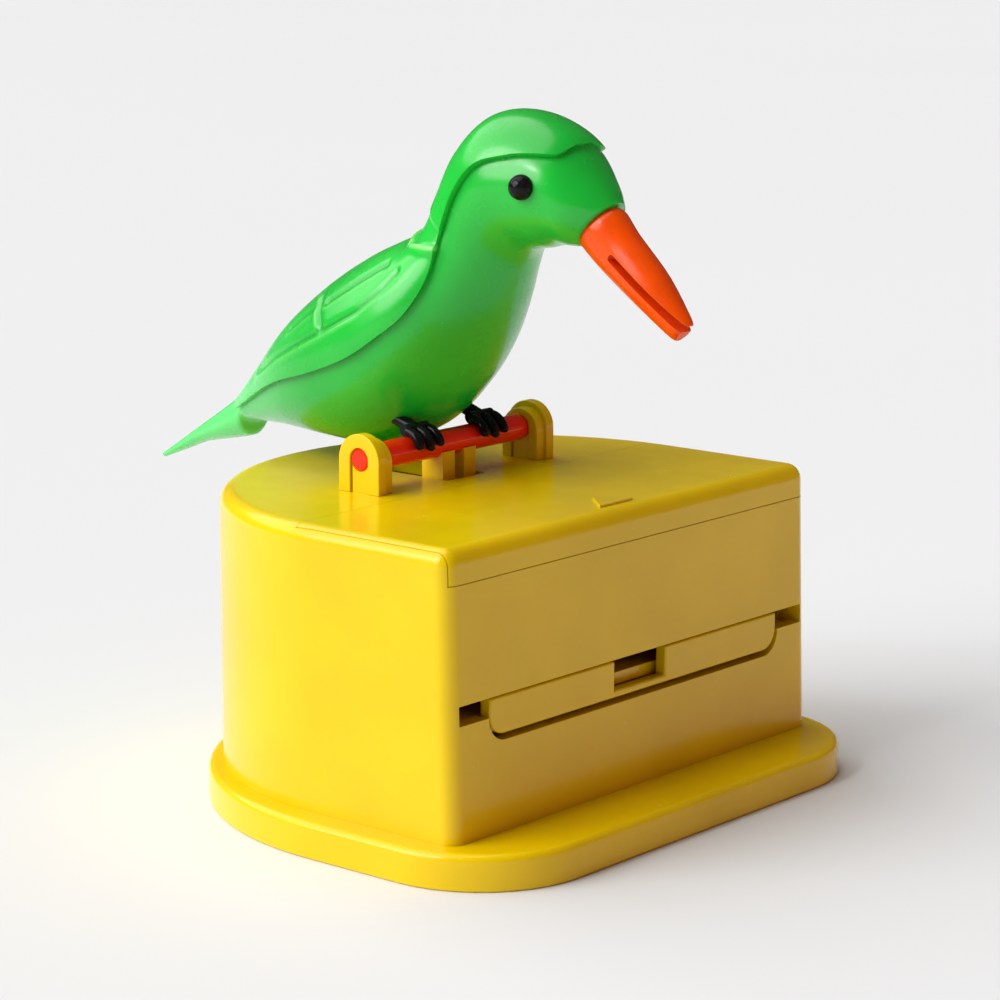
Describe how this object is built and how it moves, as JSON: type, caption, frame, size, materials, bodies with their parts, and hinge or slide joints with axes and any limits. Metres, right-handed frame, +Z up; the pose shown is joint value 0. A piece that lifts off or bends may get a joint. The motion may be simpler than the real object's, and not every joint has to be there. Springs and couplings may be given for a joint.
{
  "type": "bird toothpick dispenser",
  "caption": "Toothpick dispenser: a glossy bird on a perch rod over a D-shaped box with a sliding lid; pressed down, the bird bows and its beak reaches the front slot.",
  "frame": {"origin": "centre of the base plate's flat underside", "axes": "+Z up, front with the slot and the gate towards -Y, +X to the right as seen from the front"},
  "size_m": [0.079, 0.0933, 0.087],
  "materials": {
    "yellow_plastic": "glossy",
    "red_plastic": "satin",
    "orange_plastic": "glossy",
    "beak_plastic": "glossy",
    "green_plastic": "glossy, slightly translucent",
    "black_plastic": "glossy",
    "steel": "bright"
  },
  "bodies": {
    "case": {"base_plate": "yellow_plastic", "case_shell": "yellow_plastic", "perch_bracket_left": "yellow_plastic", "perch_bracket_right": "yellow_plastic", "rod_keeper_left": "yellow_plastic", "rod_keeper_right": "yellow_plastic", "hopper_tray": "yellow_plastic", "return_spring": "steel", "spring_guide": "yellow_plastic", "case_screws": "steel"},
    "lid": {"slide_lid": "yellow_plastic"},
    "bird": {"perch_rod": "orange_plastic", "crank_fork": "yellow_plastic", "bird_body_shell": "green_plastic", "bird_back_shell": "green_plastic", "bird_tail": "green_plastic", "beak": "beak_plastic", "eye_left": "black_plastic", "eye_right": "black_plastic", "foot_left": "black_plastic", "foot_right": "black_plastic"},
    "pusher": {"pusher": "red_plastic"},
    "gate": {"gate_flap": "yellow_plastic", "gate_pins": "steel"}
  },
  "joints": [
    {"name": "bird_peck", "type": "hinge", "parent": "case", "child": "bird", "pos_m": [0, 0.0067, 0.0437], "axis": [1, 0, 0], "range_deg": [0, 62.5]},
    {"name": "pusher_slide", "type": "slide", "parent": "case", "child": "pusher", "axis": [0, 1, 0], "range_m": [0, 0.012], "stiffness_N_per_m": 30, "springref_m": -0.006, "deforming": ["return_spring"]},
    {"name": "lid_slide", "type": "slide", "parent": "case", "child": "lid", "axis": [1, 0, 0], "range_m": [0, 0.058]},
    {"name": "gate_hinge", "type": "hinge", "parent": "case", "child": "gate", "pos_m": [0, -0.0237, 0.0169], "axis": [1, 0, 0], "range_deg": [0, 50]}
  ],
  "couplings": [
    {"joint": "pusher_slide", "follows": "bird_peck", "m_per_rad": 0.01098}
  ]
}
